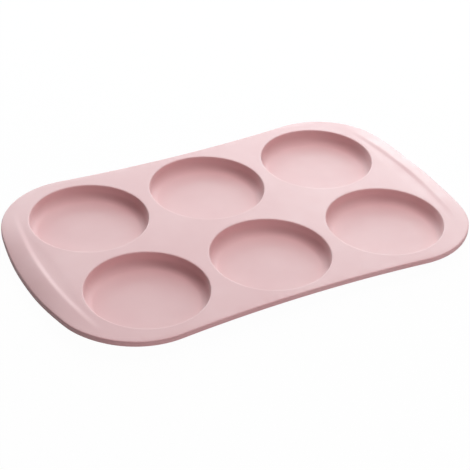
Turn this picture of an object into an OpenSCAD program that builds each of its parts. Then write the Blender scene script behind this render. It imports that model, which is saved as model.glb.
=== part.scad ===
// Six-cup silicone mould: one soft moulding, drawn as the sections that bend or push against
// each other. +X runs along the tray, +Y to the back, +Z up. The origin is under the middle of
// the tray, on the plane that the cups stand on.

/* [Cups] */
// Diameter of a cup's mouth
cup_d = 80; // [60:1:100]
// Depth of a cup, from the deck's top to the cup's floor
cup_depth = 10; // [9:0.5:20]
// Angle that a cup's wall leans outward from upright
cup_draft = 4.5; // [0:0.5:8]
// Inside radius of the heel, the rounded corner between a cup's wall and floor
heel_r = 6; // [3:0.5:7]
// Radius of the rounded lip at a cup's mouth
lip_r = 1.2; // [0.5:0.1:1.4]
// Thickness of a cup's wall
wall_t = 1.5; // [1.4:0.1:1.8]
// Thickness of a cup's floor
floor_t = 1.5; // [1.2:0.1:3]
// Width of the web between the mouths of two neighbouring cups
web_w = 9.3; // [8:0.1:20]

/* [Sheet] */
// Thickness of the deck and of the grips
deck_t = 2; // [1.5:0.1:2.5]
// Thickness of the rim, which stiffens the tray's edge
rim_t = 3.8; // [2.5:0.1:4]
// Width of the rim
rim_w = 3; // [2:0.1:4]
// Width of the flat ring of deck that belongs to a cup, outside its mouth
collar_w = 2; // [2:0.1:2.2]

/* [Outline] */
// From the mouth of an end cup to the tray's end, along the middle
end_margin = 24.4; // [22:0.1:40]
// From a middle cup's mouth to the tray's long edge, at the waist
side_margin = 6.15; // [6.1:0.05:16]
// Radius of the bowed end edges
end_r = 260; // [220:1:400]
// Radius of the hollow long edges, which draw the tray in at its waist
waist_r = 960; // [700:5:1500]
// Radius of the tray's corners
corner_r = 55; // [45:1:60]

/* [Grips] */
// Width of a grip, from its ridge to the tray's end, along the middle
grip_w = 13.7; // [12:0.1:18]
// Radius of the curve that a grip's ridge follows
ridge_r = 316; // [280:1:380]
// Angle that a grip slopes down towards the tray's end
grip_slope = 15.3; // [5:0.1:20]
// Height of a grip's ridge above the deck
ridge_h = 0.4; // [0.1:0.1:1]
// Depth of the groove inside a grip's ridge, below the deck
groove_depth = 0.6; // [0.3:0.1:1.2]
// Width of the groove, from the deck to its lowest line
groove_w = 3.4; // [2:0.1:4]
// Width of the ridge's steep inner face
ridge_face_w = 3.2; // [2:0.1:4]

/* [Moving sections] */
// Width of the strip of deck that bends along each fold line
fold_w = 2; // [1.8:0.1:3]
// Width of the ledge that a cup's floor is seated on
seat_w = 1.5; // [1.2:0.1:2.5]
// Gap around the rim of a cup's floor
seat_gap = 0.3; // [0.25:0.05:0.5]

/* [Hidden] */

silicone = [0.92, 0.79, 0.79];
silicone_cup = [0.87, 0.72, 0.72];
around_cup = 180;     // facets of a full turn, on the cups
around_ridge = 720;   // facets of a full turn, on the grips' wide curves
heel_steps = 8;       // facets of the heel's and the lip's quarter turn
end_steps = 4;        // facets of half an end edge
corner_steps = 18;    // facets of a corner
waist_steps = 6;      // facets of half a long edge

// Heights
deck_z = floor_t + cup_depth;
seat_z = floor_t / 2;

// The grid of cups: three columns along X, two rows along Y
mouth_r = cup_d / 2;
pitch = cup_d + web_w;
row_y = pitch / 2;
fold_x = pitch / 2;
collar_r = mouth_r + collar_w;

// The outline's driving points, in the quarter where X and Y are positive
half_length = pitch + mouth_r + end_margin;
half_waist = row_y + mouth_r + side_margin;
end_centre = [half_length - end_r, 0];
waist_centre = [0, half_waist + waist_r];
// A corner's circle lies inside the end's circle and outside the waist's circle, and
// touches both: its centre is where two circles about their centres cross.
to_waist = waist_centre - end_centre;
apart = norm(to_waist);
along = ((end_r - corner_r) ^ 2 - (waist_r + corner_r) ^ 2 + apart ^ 2) / (2 * apart);
across = sqrt((end_r - corner_r) ^ 2 - along ^ 2);
toward = to_waist / apart;
corner_centre = end_centre + along * toward + across * [toward[1], -toward[0]];
end_angle = atan2(corner_centre[1] - end_centre[1], corner_centre[0] - end_centre[0]);
waist_angle = atan2(waist_centre[1] - corner_centre[1], waist_centre[0] - corner_centre[0]);

// The grips
ridge_x = half_length - grip_w;
groove_r = ridge_r - ridge_face_w / 2 - groove_w;

// Points of an arc, from one angle to the other, both ends included
function arc(centre, r, from, to, steps) =
    [for (i = [0 : steps]) let (a = from + (to - from) * i / steps) centre + r * [cos(a), sin(a)]];

// A quarter of the outline, drawn in by inset, from the end's middle to just short of the waist
function quarter(inset) = concat(
    arc(end_centre, end_r - inset, 0, end_angle, end_steps),
    [for (i = [1 : corner_steps - 1]) corner_centre + (corner_r - inset)
        * [cos(end_angle + (waist_angle - end_angle) * i / corner_steps),
           sin(end_angle + (waist_angle - end_angle) * i / corner_steps)]],
    [for (i = [0 : waist_steps - 1]) waist_centre + (waist_r + inset)
        * [cos(waist_angle - 180 + (90 - waist_angle) * i / waist_steps),
           sin(waist_angle - 180 + (90 - waist_angle) * i / waist_steps)]]);

function reversed(points) = [for (i = [len(points) - 1 : -1 : 0]) points[i]];

// Half of the outline, from the right end's middle over the back to the left end's middle
function half_outline(inset) = concat(
    quarter(inset),
    [[0, half_waist - inset]],
    reversed([for (p = quarter(inset)) [-p[0], p[1]]]));

module outline(inset) {
    upper = half_outline(inset);
    lower = [for (i = [1 : len(upper) - 2]) [upper[i][0], -upper[i][1]]];
    polygon(concat(upper, reversed(lower)));
}

// Holes that the cups' collars fill
module collar_holes() {
    for (column = [-1 : 1], row = [-1, 1])
        translate([column * pitch, row * row_y, 0])
            cylinder(r = collar_r, h = deck_z + cup_depth, $fn = around_cup);
}

// A block of one column of the tray: -1 left, 0 middle, 1 right
module column_block(column) {
    inner = fold_x + fold_w / 2;
    span = 2 * half_length;
    if (column == 0)
        translate([fold_w / 2 - fold_x, -span, 0]) cube([2 * fold_x - fold_w, 2 * span, 2 * deck_z]);
    else
        translate([column > 0 ? inner : -span, -span, 0]) cube([span - inner, 2 * span, 2 * deck_z]);
}

// A strip of deck of the given thickness: flat, then down into the groove, up over the ridge and
// down along the grip. It is turned about the centre of the ridge's curve, on the right-hand side.
module grip_profile(thickness, from_r) {
    foot_r = ridge_r - ridge_face_w / 2;
    crest_r = ridge_r + ridge_face_w / 2;
    last_r = ridge_r + half_length;
    last_z = ridge_h - (last_r - crest_r) * tan(grip_slope);
    top = [[from_r, 0], [groove_r, 0], [foot_r, -groove_depth], [crest_r, ridge_h], [last_r, last_z]];
    under = [for (p = reversed(top)) [p[0], p[1] - thickness]];
    polygon(concat(top, under));
}

// The sheet of an end column, turned about the centre of the ridge's curve. side: -1 or 1
module end_sheet(side, thickness, from_r) {
    translate([side * (ridge_x - ridge_r), 0, deck_z])
        rotate_extrude($fn = around_ridge) grip_profile(thickness, from_r);
}

module rim_ring(thickness) {
    translate([0, 0, deck_z - thickness]) linear_extrude(thickness) difference() {
        outline(0);
        outline(rim_w);
    }
}

// Flat deck between the cups of one end column, as far as the groove
module end_deck(side) {
    color(silicone) difference() {
        intersection() {
            translate([0, 0, deck_z - deck_t]) linear_extrude(deck_t) outline(rim_w);
            translate([side * (ridge_x - ridge_r), 0, 0])
                cylinder(r = groove_r, h = 2 * deck_z, $fn = around_ridge);
            column_block(side);
        }
        collar_holes();
    }
}

// Flat deck between the cups of the middle column
module middle_deck() {
    color(silicone) difference() {
        intersection() {
            translate([0, 0, deck_z - deck_t]) linear_extrude(deck_t) outline(rim_w);
            column_block(0);
        }
        collar_holes();
    }
}

// Thin strip across the tray, through the webs, that bends when an end column is folded
module fold_web(side) {
    color(silicone) intersection() {
        union() {
            translate([0, 0, deck_z - deck_t]) linear_extrude(deck_t) outline(rim_w);
            rim_ring(rim_t);
        }
        translate([side * fold_x - fold_w / 2, -half_length, 0])
            cube([fold_w, 2 * half_length, 2 * deck_z]);
    }
}

// Grip: the groove, the ridge and the flange that slopes down to the tray's end
module grip(side) {
    color(silicone) difference() {
        intersection() {
            end_sheet(side, deck_t, groove_r);
            linear_extrude(2 * deck_z) outline(rim_w);
            column_block(side);
        }
        collar_holes();
    }
}

// Thick rim round one end column, which follows the grip down
module end_rim(side) {
    color(silicone) intersection() {
        end_sheet(side, rim_t, 1);
        linear_extrude(2 * deck_z) difference() {
            outline(0);
            outline(rim_w);
        }
        column_block(side);
    }
}

// Thick rim along one long edge of the middle column. row: -1 front, 1 back
module middle_rim(row) {
    color(silicone) intersection() {
        rim_ring(rim_t);
        column_block(0);
        translate([-half_length, row > 0 ? 0 : -half_length, 0])
            cube([2 * half_length, half_length, 2 * deck_z]);
    }
}

// Distance from the cup's axis of a circle's centre at height z, where the circle of radius r
// touches the wall's inner face moved outward by offset. side: -1 in the cup, 1 in the wall
function beside_wall(z, offset, r, side) =
    mouth_r + ((z - deck_z) * sin(cup_draft) + offset + side * r) / cos(cup_draft);

// Radius at which the heel meets the cup's flat floor
flat_r = beside_wall(floor_t + heel_r, 0, heel_r, -1);

// Cup wall: the lip and its collar, the leaning wall, the heel and the ledge under the floor's rim
module cup_wall(column, row) {
    outer_heel_r = heel_r + wall_t;
    lip = [beside_wall(deck_z - lip_r, 0, lip_r, 1), deck_z - lip_r];
    heel = [flat_r, floor_t + heel_r];
    outer_heel = [beside_wall(outer_heel_r, wall_t, outer_heel_r, -1), outer_heel_r];
    under_z = deck_z - deck_t;
    translate([column * pitch, row * row_y, 0]) color(silicone_cup)
        rotate_extrude($fn = around_cup) polygon(concat(
            arc(lip, lip_r, 90, 180 - cup_draft, heel_steps),
            arc(heel, heel_r, -cup_draft, -90, heel_steps),
            [[flat_r, seat_z], [flat_r - seat_w, seat_z], [flat_r - seat_w, 0]],
            arc(outer_heel, outer_heel_r, -90, -cup_draft, heel_steps),
            [[beside_wall(under_z, wall_t, 0, 1), under_z], [collar_r, under_z], [collar_r, deck_z]]));
}

// Cup floor: a disc whose rim lies on the wall's ledge, so that it can be pushed up from below
module cup_floor(column, row) {
    translate([column * pitch, row * row_y, 0]) color(silicone_cup) union() {
        cylinder(r = flat_r - seat_w - seat_gap, h = floor_t, $fn = around_cup);
        translate([0, 0, seat_z])
            cylinder(r = flat_r - seat_gap, h = floor_t - seat_z, $fn = around_cup);
    }
}

end_deck(-1);  // deck_left
middle_deck();  // deck_middle
end_deck(1);  // deck_right
fold_web(-1);  // fold_web_left
fold_web(1);  // fold_web_right
grip(-1);  // grip_left
grip(1);  // grip_right
end_rim(-1);  // rim_left
end_rim(1);  // rim_right
middle_rim(-1);  // rim_front
middle_rim(1);  // rim_back
cup_wall(-1, -1);  // cup_wall_front_left
cup_wall(0, -1);  // cup_wall_front_middle
cup_wall(1, -1);  // cup_wall_front_right
cup_wall(-1, 1);  // cup_wall_back_left
cup_wall(0, 1);  // cup_wall_back_middle
cup_wall(1, 1);  // cup_wall_back_right
cup_floor(-1, -1);  // cup_floor_front_left
cup_floor(0, -1);  // cup_floor_front_middle
cup_floor(1, -1);  // cup_floor_front_right
cup_floor(-1, 1);  // cup_floor_back_left
cup_floor(0, 1);  // cup_floor_back_middle
cup_floor(1, 1);  // cup_floor_back_right
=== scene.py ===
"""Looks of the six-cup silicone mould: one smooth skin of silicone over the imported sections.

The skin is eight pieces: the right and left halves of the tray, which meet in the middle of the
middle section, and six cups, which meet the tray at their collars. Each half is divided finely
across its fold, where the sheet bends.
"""
import math

import bmesh
import bpy
import numpy as np
from mathutils import Matrix, Vector
from mathutils.geometry import delaunay_2d_cdt


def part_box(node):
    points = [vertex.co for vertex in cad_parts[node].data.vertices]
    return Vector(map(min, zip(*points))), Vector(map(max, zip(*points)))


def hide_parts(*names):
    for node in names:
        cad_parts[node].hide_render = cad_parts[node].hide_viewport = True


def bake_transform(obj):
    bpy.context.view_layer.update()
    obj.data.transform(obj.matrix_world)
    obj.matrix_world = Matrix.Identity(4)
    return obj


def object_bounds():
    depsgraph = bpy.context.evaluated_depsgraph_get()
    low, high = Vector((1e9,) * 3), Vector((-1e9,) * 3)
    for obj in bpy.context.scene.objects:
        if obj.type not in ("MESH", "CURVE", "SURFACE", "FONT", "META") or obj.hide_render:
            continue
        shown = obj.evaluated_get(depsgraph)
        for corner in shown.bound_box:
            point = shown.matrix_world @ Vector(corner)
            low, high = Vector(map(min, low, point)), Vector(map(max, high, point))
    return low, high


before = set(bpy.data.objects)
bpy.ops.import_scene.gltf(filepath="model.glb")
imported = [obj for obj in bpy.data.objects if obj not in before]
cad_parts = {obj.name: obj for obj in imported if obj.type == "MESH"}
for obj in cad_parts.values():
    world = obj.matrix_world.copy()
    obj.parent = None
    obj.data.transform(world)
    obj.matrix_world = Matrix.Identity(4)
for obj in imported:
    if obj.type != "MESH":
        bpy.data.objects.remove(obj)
cad_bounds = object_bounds()

MM = 0.001

# ---------------------------------------------------------------------------------------------
# Sizes: what the frame gives, and the curves that part.scad sets (metres)

COLUMNS = {"left": -1, "middle": 0, "right": 1}
ROWS = {"front": -1, "back": 1}

deck_low, deck_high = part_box("deck_middle")
right_low, right_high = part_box("cup_wall_back_right")
web_low, web_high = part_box("fold_web_right")
floor_low, floor_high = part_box("cup_floor_back_right")
rim_low, rim_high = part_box("rim_back")

DECK_Z = deck_high[2]
DECK_T = deck_high[2] - deck_low[2]
RIM_T = rim_high[2] - rim_low[2]
FLOOR_Z = floor_high[2]
HALF_LENGTH = cad_bounds[1][0]
PITCH = (right_low[0] + right_high[0]) / 2
ROW_Y = (floor_low[1] + floor_high[1]) / 2
COLLAR_R = (right_high[0] - right_low[0]) / 2
FOLD_X = (web_low[0] + web_high[0]) / 2

MOUTH_R = 40 * MM
CUP_DRAFT = math.radians(4.5)
HEEL_R = 6 * MM
LIP_R = 0.8 * MM
WALL_T = 1.5 * MM
RIM_W = 3 * MM
SIDE_MARGIN = 6.15 * MM
END_R = 260 * MM
WAIST_R = 960 * MM
CORNER_R = 55 * MM
GRIP_W = 13.7 * MM
RIDGE_R = 316 * MM

HALF_WAIST = ROW_Y + MOUTH_R + SIDE_MARGIN
RIDGE_X = HALF_LENGTH - GRIP_W

# The relief of the grips, which dies away towards the corners: the groove before the ridge, the
# ridge itself, which is a little higher in the middle of the tray, and the slope past it
GROOVE_W = 12 * MM
GROOVE_SLOPE = 0.045
GROOVE_NARROWING = 9.1 * MM
NARROWEST_Y = 52 * MM
NARROWING_SPREAD = 29 * MM
RIDGE_HALF_FACE = 2.1 * MM
RIDGE_H = 0.6 * MM
RIDGE_MIDDLE_H = 0.35 * MM
RIDGE_MIDDLE_SPREAD = 18 * MM
RIDGE_FADE_START = 36 * MM
RIDGE_FADE_WIDTH = 38 * MM
CREST = 1.2 * MM
CREST_BEND = 1.0 * MM
GRIP_SLOPE = 0.17
GRIP_CURVE = 94 * MM
GRIP_FADE_START = 10 * MM
GRIP_FADE_WIDTH = 80 * MM

# The rounds along the rim's outer edge
RIM_TOP_R = 0.8 * MM
RIM_UNDER_R = 0.7 * MM

# The strip beside a fold line in which the sheet bends
HALF_BEND_ZONE = 2.4 * MM

# How finely the skin is divided
GRID_STEP = 6 * MM
POINT_GAP = 0.7 * MM
AROUND_CUP = 144
CORNER_STEPS = 30
END_STEPS = 18
ROUND_STEPS = 5
FLOOR_RINGS = (0.9, 0.7, 0.5, 0.3, 0.12)


# ---------------------------------------------------------------------------------------------
# The tray's outline and height

def smooth(t):
    """Goes gently from 0 to 1 as t does."""
    t = np.clip(t, 0, 1)
    return t * t * (3 - 2 * t)


def corner_centre():
    """Centre of the back right corner's arc, which touches the end's arc and the waist's arc."""
    end = np.array([HALF_LENGTH - END_R, 0])
    waist = np.array([0, HALF_WAIST + WAIST_R])
    apart = np.linalg.norm(waist - end)
    toward = (waist - end) / apart
    along = ((END_R - CORNER_R) ** 2 - (WAIST_R + CORNER_R) ** 2 + apart ** 2) / (2 * apart)
    across = math.sqrt((END_R - CORNER_R) ** 2 - along ** 2)
    return end + along * toward + across * np.array([toward[1], -toward[0]])


def fold_lines():
    """X of the lines along which the sheet bends, across the narrow web."""
    return FOLD_X + np.linspace(-HALF_BEND_ZONE, HALF_BEND_ZONE, 9)


def edge_stations():
    """Stations along the right half's edge, from the front waist round the end to the back
    waist. Each is (centre, direction, radius, sign): a point drawn in by inset is
    centre + (radius + sign * inset) * direction."""
    corner = corner_centre()
    waist_y = HALF_WAIST + WAIST_R
    end_angle = math.atan2(corner[1], corner[0] - (HALF_LENGTH - END_R))
    waist_turn = math.atan2(corner[0], waist_y - corner[1])
    last_x = WAIST_R * math.sin(waist_turn)
    folds = fold_lines()
    before = np.linspace(0, folds[0], 7)[:-1]
    after = np.linspace(folds[-1], last_x, 7)[1:]
    turns = [math.asin(x / WAIST_R) for x in (*before, *folds, *after)]
    back = [((0, waist_y), (math.sin(t), -math.cos(t)), WAIST_R, 1) for t in turns]
    corner_turn = np.linspace(math.pi / 2 + waist_turn, end_angle, CORNER_STEPS + 1)[1:]
    back += [(tuple(corner), (math.cos(a), math.sin(a)), CORNER_R, -1) for a in corner_turn]
    end_turn = np.linspace(end_angle, 0, END_STEPS // 2 + 1)[1:]
    back += [((HALF_LENGTH - END_R, 0), (math.cos(a), math.sin(a)), END_R, -1) for a in end_turn]
    front = [((c[0], -c[1]), (d[0], -d[1]), r, s) for c, d, r, s in back[:-1]]
    return front + back[::-1]


def edge_points(inset):
    """The right half's edge, drawn in by inset."""
    return np.array([[c[0] + (r + s * inset) * d[0], c[1] + (r + s * inset) * d[1]]
                     for c, d, r, s in edge_stations()])


def sheet_height(x, y):
    """Height of the tray's top surface. Towards an end it dips gently into the groove, climbs the
    ridge's face and then falls away along the grip, ever more steeply. All three die away towards
    the corners, and the groove narrows where it passes the cups."""
    beyond = np.hypot(x - (RIDGE_X - RIDGE_R), y) - RIDGE_R
    aside = np.abs(y)
    face = smooth((beyond + RIDGE_HALF_FACE) / (2 * RIDGE_HALF_FACE))
    fade = 1 - smooth((aside - RIDGE_FADE_START) / RIDGE_FADE_WIDTH)

    beside_cup = np.exp(-((aside - NARROWEST_Y) / NARROWING_SPREAD) ** 2)
    groove_w = GROOVE_W - GROOVE_NARROWING * beside_cup
    dip = -GROOVE_SLOPE * groove_w * smooth((beyond + RIDGE_HALF_FACE + groove_w) / groove_w)
    rise = (RIDGE_H + RIDGE_MIDDLE_H * np.exp(-(y / RIDGE_MIDDLE_SPREAD) ** 2)) * face

    past = (beyond - CREST + np.sqrt((beyond - CREST) ** 2 + CREST_BEND ** 2)) / 2
    past = np.where(beyond < -2 * RIDGE_HALF_FACE, 0, past)
    grip_fade = 1 - smooth((aside - GRIP_FADE_START) / GRIP_FADE_WIDTH)
    fall = (GRIP_SLOPE * past + past * past / GRIP_CURVE) * grip_fade
    return DECK_Z + fade * (dip + rise) - fall


# ---------------------------------------------------------------------------------------------
# Mesh building

class Skin:
    """Collects points and faces of one piece, and welds what meets."""

    def __init__(self):
        self.points = []
        self.faces = []

    def add(self, points, faces):
        first = len(self.points)
        self.points += [tuple(map(float, p)) for p in points]
        self.faces += [[first + i for i in f] for f in faces]

    def strip(self, rows, closed=False):
        """Quads between rows of equal length. closed: the last point of a row meets the first."""
        n = len(rows[0])
        steps = n if closed else n - 1
        faces = [[r * n + i, r * n + (i + 1) % n, (r + 1) * n + (i + 1) % n, (r + 1) * n + i]
                 for r in range(len(rows) - 1) for i in range(steps)]
        self.add([p for row in rows for p in row], faces)

    def mirrored(self):
        other = Skin()
        other.add([(-x, y, z) for x, y, z in self.points], [f[::-1] for f in self.faces])
        return other

    def build(self, name, material):
        mesh = bpy.data.meshes.new(name)
        mesh.from_pydata(self.points, [], self.faces)
        bm = bmesh.new()
        bm.from_mesh(mesh)
        bmesh.ops.remove_doubles(bm, verts=bm.verts, dist=1e-6)
        bmesh.ops.dissolve_degenerate(bm, edges=bm.edges, dist=1e-7)
        bmesh.ops.recalc_face_normals(bm, faces=bm.faces)
        if bm.calc_volume(signed=True) < 0:
            bmesh.ops.reverse_faces(bm, faces=bm.faces)
        bm.to_mesh(mesh)
        bm.free()
        mesh.shade_smooth()
        mesh.set_sharp_from_angle(angle=math.radians(50))
        mesh.materials.append(material)
        piece = bpy.data.objects.new(name, mesh)
        bpy.context.scene.collection.objects.link(piece)
        return piece


def inside(points, loop):
    """Which points lie inside a closed loop."""
    x, y = points[:, 0], points[:, 1]
    within = np.zeros(len(points), bool)
    for (x0, y0), (x1, y1) in zip(loop, np.roll(loop, -1, 0)):
        crosses = (y0 > y) != (y1 > y)
        if y0 != y1:
            within ^= crosses & (x < (x1 - x0) * (y - y0) / (y1 - y0) + x0)
    return within


def ring(centre, radius, start=0.0, turn=2 * math.pi):
    """Points of a circle, or of the part of it that starts at an angle and goes through turn."""
    steps = round(AROUND_CUP * turn / (2 * math.pi))
    count = steps if turn == 2 * math.pi else steps + 1
    angles = start + turn * np.arange(count) / steps
    return np.column_stack([centre[0] + radius * np.cos(angles), centre[1] + radius * np.sin(angles)])


def half_tray_holes():
    """The collar circles in the right half: two whole ones, and the right halves of two."""
    whole = [ring((PITCH, row * ROW_Y), COLLAR_R) for row in ROWS.values()]
    half = [ring((0, row * ROW_Y), COLLAR_R, -math.pi / 2, math.pi) for row in ROWS.values()]
    return whole, half


def filling_points(edge, holes):
    """Points that carry the sheet's shape: along the ridge's curve, and a loose grid elsewhere."""
    centre_x = RIDGE_X - RIDGE_R
    before, face, after = np.arange(-11, -4, 1.0), np.arange(-4, 4.1, 0.5), np.arange(5, 16, 1.5)
    from_ridge = np.concatenate([before, face, after]) * MM
    angles = np.radians(np.arange(-20, 20.01, 0.5))
    r, a = np.meshgrid(RIDGE_R + from_ridge, angles)
    curved = np.column_stack([(centre_x + r * np.cos(a)).ravel(), (r * np.sin(a)).ravel()])
    along, across = np.arange(GRID_STEP, HALF_LENGTH, GRID_STEP), np.arange(-16, 17) * GRID_STEP
    gx, gy = np.meshgrid(along, across)
    loose = np.column_stack([gx.ravel(), gy.ravel()])
    loose = loose[np.hypot(loose[:, 0] - centre_x, loose[:, 1]) < RIDGE_R - 13 * MM]
    loose = loose[np.abs(loose[:, 0] - FOLD_X) > 4 * MM]
    lines = [[x, y] for x in fold_lines() for y in np.arange(-14, 15) * GRID_STEP]
    points = np.concatenate([curved, loose, lines])
    points = points[inside(points, edge) & (points[:, 0] > MM)]
    for loop in [edge, *holes]:
        near = np.min(np.hypot(points[:, None, 0] - loop[None, :, 0],
                               points[:, None, 1] - loop[None, :, 1]), axis=1)
        points = points[near > POINT_GAP]
    for column in (0, 1):
        for row in ROWS.values():
            away = np.hypot(points[:, 0] - column * PITCH, points[:, 1] - row * ROW_Y)
            points = points[away > COLLAR_R + POINT_GAP]
    return points


def sheet_faces(edge):
    """Triangles of the right half's sheet inside an edge, outside the collars."""
    whole, half = half_tray_holes()
    cut = [edge[-1], *half[1][::-1], *half[0][::-1]]
    border = np.array([*edge, *cut[1:]])
    loops = [border, *whole]
    points, edges = [], []
    for loop in loops:
        first = len(points)
        points += [tuple(p) for p in loop]
        edges += [(first + i, first + (i + 1) % len(loop)) for i in range(len(loop))]
    points += [tuple(p) for p in filling_points(border, [*whole, *half])]
    found = delaunay_2d_cdt([Vector(p) for p in points], edges, [], 0, 1e-7)
    flat = np.array([tuple(v) for v in found[0]])
    faces = np.array([f for f in found[2]])
    middle = flat[faces].mean(axis=1)
    kept = inside(middle, border)
    for loop in whole:
        kept &= ~inside(middle, loop)
    return flat, faces[kept]


def rim_profile():
    """(inset, drop) round the rim from its top to the underside of the sheet."""
    turn = np.linspace(0, math.pi / 2, ROUND_STEPS + 1)
    top = [(RIM_TOP_R * (1 - math.sin(a)), RIM_TOP_R * (1 - math.cos(a))) for a in turn]
    under = [(RIM_UNDER_R * (1 - math.cos(a)), RIM_T - RIM_UNDER_R * (1 - math.sin(a))) for a in turn]
    step_r = (RIM_T - DECK_T) / 2
    step = [(RIM_W - step_r + step_r * math.sin(a), RIM_T - step_r * (1 - math.cos(a))) for a in turn]
    foot = [(RIM_W + step_r * (1 - math.cos(a)), DECK_T + step_r * (1 - math.sin(a))) for a in turn[1:]]
    return top + under + step + foot


def half_tray():
    """The right half of the tray, closed all round: its rim, top, underside and collars, and the
    cut through the middle section."""
    skin = Skin()
    profile = rim_profile()
    rows = []
    for inset, drop in profile:
        flat = edge_points(inset)
        rows.append(np.column_stack([flat, sheet_height(flat[:, 0], flat[:, 1]) - drop]))
    skin.strip(rows)
    for inset, drop in (profile[0], profile[-1]):
        flat, faces = sheet_faces(edge_points(inset))
        skin.add(np.column_stack([flat, sheet_height(flat[:, 0], flat[:, 1]) - drop]), faces.tolist())
    whole, half = half_tray_holes()
    for circle, closed in [(w, True) for w in whole] + [(h, False) for h in half]:
        skin.strip([[(x, y, DECK_Z - drop) for x, y in circle] for drop in (0, DECK_T)], closed)
    # the cut through the middle section: the web between the rows, and a strip at each long edge
    web = ROW_Y - COLLAR_R
    under_z = DECK_Z - DECK_T
    skin.add([(0, -web, DECK_Z), (0, web, DECK_Z), (0, web, under_z), (0, -web, under_z)],
             [[0, 1, 2, 3]])
    for side, index in ((-1, 0), (1, -1)):
        section = [tuple(row[index]) for row in rows]
        y = side * (ROW_Y + COLLAR_R)
        section += [(0, y, under_z), (0, y, DECK_Z)]
        skin.add(section, [list(range(len(section)))])
    return skin


# ---------------------------------------------------------------------------------------------
# Cups

def beside_wall(z, offset, r, side):
    """Distance from the cup's axis of the centre of a circle at height z that touches the wall."""
    return MOUTH_R + ((z - DECK_Z) * math.sin(CUP_DRAFT) + offset + side * r) / math.cos(CUP_DRAFT)


def arc(centre, r, first, last, steps):
    """Points of an arc, both its ends among them."""
    angles = np.linspace(first, last, steps + 1)
    return [(centre[0] + r * math.cos(a), centre[1] + r * math.sin(a)) for a in angles]


def between(p, q, steps):
    """Points between two points, neither included."""
    (x0, z0), (x1, z1) = p, q
    return [(x0 + (x1 - x0) * i / steps, z0 + (z1 - z0) * i / steps) for i in range(1, steps)]


def cup_profiles():
    """(radius, height) of a cup's upper side and of its underside, from the collar to the axis."""
    quarter = math.pi / 2
    lip_centre = (beside_wall(DECK_Z - LIP_R, 0, LIP_R, 1), DECK_Z - LIP_R)
    heel_centre = (beside_wall(FLOOR_Z + HEEL_R, 0, HEEL_R, -1), FLOOR_Z + HEEL_R)
    lip = arc(lip_centre, LIP_R, quarter, math.pi - CUP_DRAFT, 8)
    heel = arc(heel_centre, HEEL_R, -CUP_DRAFT, -quarter, 16)
    disc = [(heel_centre[0] * share, FLOOR_Z) for share in FLOOR_RINGS]
    upper = [(COLLAR_R, DECK_Z), (COLLAR_R - 0.3 * MM, DECK_Z), *lip,
             *between(lip[-1], heel[0], 8), *heel, *disc]
    outer_r = HEEL_R + WALL_T
    outer_centre = (beside_wall(outer_r, WALL_T, outer_r, -1), outer_r)
    outer = arc(outer_centre, outer_r, -CUP_DRAFT, -quarter, 16)
    under_z = DECK_Z - DECK_T
    root = (beside_wall(under_z, WALL_T, 0, 1), under_z)
    base = [(outer_centre[0] * share, 0.0) for share in FLOOR_RINGS]
    lower = [(COLLAR_R, under_z), root, *between(root, outer[0], 6), *outer, *base]
    return upper, lower


def cup_skin(centre):
    """One cup, from its collar down, with its upper side and its underside."""
    skin = Skin()
    upper, lower = cup_profiles()

    def circle(radius, z):
        return [(x, y, z) for x, y in ring(centre, radius)]

    for profile in (upper, lower):
        rows = [circle(radius, z) for radius, z in profile]
        skin.strip(rows, closed=True)
        hub = (centre[0], centre[1], profile[-1][1])
        last = rows[-1]
        skin.add([*last, hub], [[i, (i + 1) % len(last), len(last)] for i in range(len(last))])
    skin.strip([circle(COLLAR_R, DECK_Z), circle(COLLAR_R, DECK_Z - DECK_T)], closed=True)
    return skin


# ---------------------------------------------------------------------------------------------
# Material

DEEP_ROSE = (0.760, 0.495, 0.497, 1)
PALE_ROSE = (0.800, 0.545, 0.543, 1)
SILICONE_IOR = 1.41


def silicone():
    """Pale rose moulded silicone: a soft satin skin with a fine moulded grain, slightly uneven in
    colour and height."""
    material = bpy.data.materials.new("rose_silicone")
    material.use_nodes = True
    nodes, links = material.node_tree.nodes, material.node_tree.links
    shader = nodes["Principled BSDF"]
    place = nodes.new("ShaderNodeTexCoord")

    def noise(scale, detail, roughness):
        node = nodes.new("ShaderNodeTexNoise")
        node.inputs["Scale"].default_value = scale
        node.inputs["Detail"].default_value = detail
        node.inputs["Roughness"].default_value = roughness
        links.new(place.outputs["Object"], node.inputs["Vector"])
        return node.outputs["Fac"]

    def spread(value, low, high):
        node = nodes.new("ShaderNodeMapRange")
        node.inputs["From Min"].default_value = 0.3
        node.inputs["From Max"].default_value = 0.7
        node.inputs["To Min"].default_value = low
        node.inputs["To Max"].default_value = high
        links.new(value, node.inputs["Value"])
        return node.outputs["Result"]

    tone = nodes.new("ShaderNodeMix")
    tone.data_type = "RGBA"
    tone.inputs["A"].default_value = DEEP_ROSE
    tone.inputs["B"].default_value = PALE_ROSE
    links.new(spread(noise(22, 3, 0.5), 0, 1), tone.inputs["Factor"])
    links.new(tone.outputs["Result"], shader.inputs["Base Color"])
    links.new(spread(noise(140, 4, 0.6), 0.50, 0.62), shader.inputs["Roughness"])

    grain = nodes.new("ShaderNodeBump")
    grain.inputs["Strength"].default_value = 0.25
    grain.inputs["Distance"].default_value = 0.00005
    links.new(noise(1600, 2, 0.5), grain.inputs["Height"])
    swell = nodes.new("ShaderNodeBump")
    swell.inputs["Strength"].default_value = 0.3
    swell.inputs["Distance"].default_value = 0.0003
    links.new(noise(45, 2, 0.4), swell.inputs["Height"])
    links.new(grain.outputs["Normal"], swell.inputs["Normal"])
    links.new(swell.outputs["Normal"], shader.inputs["Normal"])

    shader.inputs["Specular IOR Level"].default_value = 0.25
    shader.inputs["IOR"].default_value = SILICONE_IOR
    return material


# ---------------------------------------------------------------------------------------------
# The object

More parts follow.
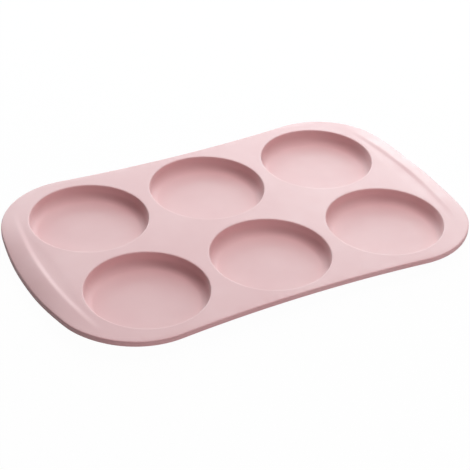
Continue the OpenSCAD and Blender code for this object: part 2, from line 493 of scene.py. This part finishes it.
rose = silicone()
right_skin = half_tray()
trays = {"right": right_skin.build("tray_skin_right", rose),
         "left": right_skin.mirrored().build("tray_skin_left", rose)}
for side, tray in trays.items():
    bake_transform(tray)
    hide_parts(f"deck_{side}", f"grip_{side}", f"rim_{side}", f"fold_web_{side}")
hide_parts("deck_middle", "rim_front", "rim_back")

for row, row_sign in ROWS.items():
    for column, column_sign in COLUMNS.items():
        name = f"{row}_{column}"
        centre = (column_sign * PITCH, row_sign * ROW_Y)
        cup = cup_skin(centre).build(f"cup_skin_{name}", rose)
        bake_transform(cup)
        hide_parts(f"cup_wall_{name}", f"cup_floor_{name}")

# ---------------------------------------------------------------------------------------------
# Camera

AZIMUTH = math.radians(-30.10)
ELEVATION = math.radians(34.35)
ROLL = math.radians(2.57)
DISTANCE = 943.6 * MM
AIM = Vector((-10.97 * MM, -16.18 * MM, DECK_Z))
SENSOR_WIDTH = 36
LENS = 109.02

backward = Vector((math.sin(AZIMUTH) * math.cos(ELEVATION),
                   -math.cos(AZIMUTH) * math.cos(ELEVATION), math.sin(ELEVATION)))
level = Vector((math.cos(AZIMUTH), math.sin(AZIMUTH), 0))
upright = backward.cross(level)
across = math.cos(ROLL) * level + math.sin(ROLL) * upright
upward = math.cos(ROLL) * upright - math.sin(ROLL) * level
camera = bpy.data.objects.new("camera", bpy.data.cameras.new("camera"))
camera.data.sensor_width = SENSOR_WIDTH
camera.data.lens = LENS
camera.data.clip_start = 0.01
camera.matrix_world = Matrix.Translation(AIM + DISTANCE * backward) @ \
    Matrix((across, upward, backward)).transposed().to_4x4()
bpy.context.scene.collection.objects.link(camera)
bpy.context.scene.camera = camera

# ---------------------------------------------------------------------------------------------
# Floor, background and light

# Tints of the lights: cool from behind, so that the sheen is paler than the silicone, and warm from
# in front and above, so that the shade inside the cups is rosier
COOL = (0.68, 0.95, 0.97)
NEUTRAL = (1.0, 0.95, 0.95)
WARM = (1.0, 0.72, 0.76)

LAMP_SIZE = 0.5
FILL_STRENGTH = 0.01
FLOOR_R = 3
FLOOR_PAINT = (0.75, 0.75, 0.75, 1)
WHITE_SHARE = 0.98


def lamp(name, azimuth, elevation, power, tint):
    """A square soft light a metre from the tray. Azimuth 0 is behind it, and 90 on its right."""
    light = bpy.data.lights.new(name, "AREA")
    light.size = LAMP_SIZE
    light.energy = power
    light.color = tint
    a, e = math.radians(azimuth), math.radians(elevation)
    away = Vector((math.sin(a) * math.cos(e), math.cos(a) * math.cos(e), math.sin(e)))
    holder = bpy.data.objects.new(name, light)
    holder.location = away + Vector((0, 0, DECK_Z))
    holder.rotation_euler = away.to_track_quat("Z", "Y").to_euler()
    bpy.context.scene.collection.objects.link(holder)


def backdrop_strength(tree):
    """1 for rays that see the backdrop directly or through something clear, and 0 for the rest."""
    rays = tree.nodes.new("ShaderNodeLightPath")
    seen = tree.nodes.new("ShaderNodeMath")
    seen.operation = "MAXIMUM"
    tree.links.new(rays.outputs["Is Camera Ray"], seen.inputs[0])
    tree.links.new(rays.outputs["Is Transmission Ray"], seen.inputs[1])
    return seen.outputs["Value"]


def make_world():
    """White where the camera sees it, and almost no fill light."""
    world = bpy.data.worlds.new("studio")
    world.use_nodes = True
    tree = world.node_tree
    fill = tree.nodes["Background"]
    fill.inputs["Color"].default_value = (1, 1, 1, 1)
    fill.inputs["Strength"].default_value = FILL_STRENGTH
    white = tree.nodes.new("ShaderNodeBackground")
    white.inputs["Strength"].default_value = 1
    white.inputs["Color"].default_value = (1, 1, 1, 1)
    mix = tree.nodes.new("ShaderNodeMixShader")
    tree.links.new(backdrop_strength(tree), mix.inputs["Fac"])
    tree.links.new(fill.outputs[0], mix.inputs[1])
    tree.links.new(white.outputs[0], mix.inputs[2])
    tree.links.new(mix.outputs[0], tree.nodes["World Output"].inputs["Surface"])
    bpy.context.scene.world = world


def make_floor():
    """A wide pale floor under the cups. The camera sees it as white, with a faint shadow."""
    bpy.ops.mesh.primitive_circle_add(vertices=96, radius=FLOOR_R, fill_type="NGON")
    floor = bpy.context.object
    floor.name = "studio_floor"
    material = bpy.data.materials.new("studio_floor")
    material.use_nodes = True
    tree = material.node_tree
    paint = tree.nodes["Principled BSDF"]
    paint.inputs["Base Color"].default_value = FLOOR_PAINT
    paint.inputs["Roughness"].default_value = 0.9
    paint.inputs["Specular IOR Level"].default_value = 0
    white = tree.nodes.new("ShaderNodeEmission")
    white.inputs["Strength"].default_value = 1
    share = tree.nodes.new("ShaderNodeMath")
    share.operation = "MULTIPLY"
    share.inputs[1].default_value = WHITE_SHARE
    tree.links.new(backdrop_strength(tree), share.inputs[0])
    mix = tree.nodes.new("ShaderNodeMixShader")
    tree.links.new(share.outputs["Value"], mix.inputs["Fac"])
    tree.links.new(paint.outputs[0], mix.inputs[1])
    tree.links.new(white.outputs[0], mix.inputs[2])
    tree.links.new(mix.outputs[0], tree.nodes["Material Output"].inputs["Surface"])
    floor.data.materials.append(material)


make_world()
make_floor()
lamp("back_low", 0, 15, 6.3, COOL)
lamp("key_low", 45, 15, 6.8, COOL)
lamp("key", 45, 42, 2.9, COOL)
lamp("right_high", 90, 68, 4.2, NEUTRAL)
lamp("back_high", 0, 68, 2.6, WARM)
lamp("front_low", 180, 15, 2.4, WARM)

bpy.context.scene.view_settings.view_transform = "Standard"
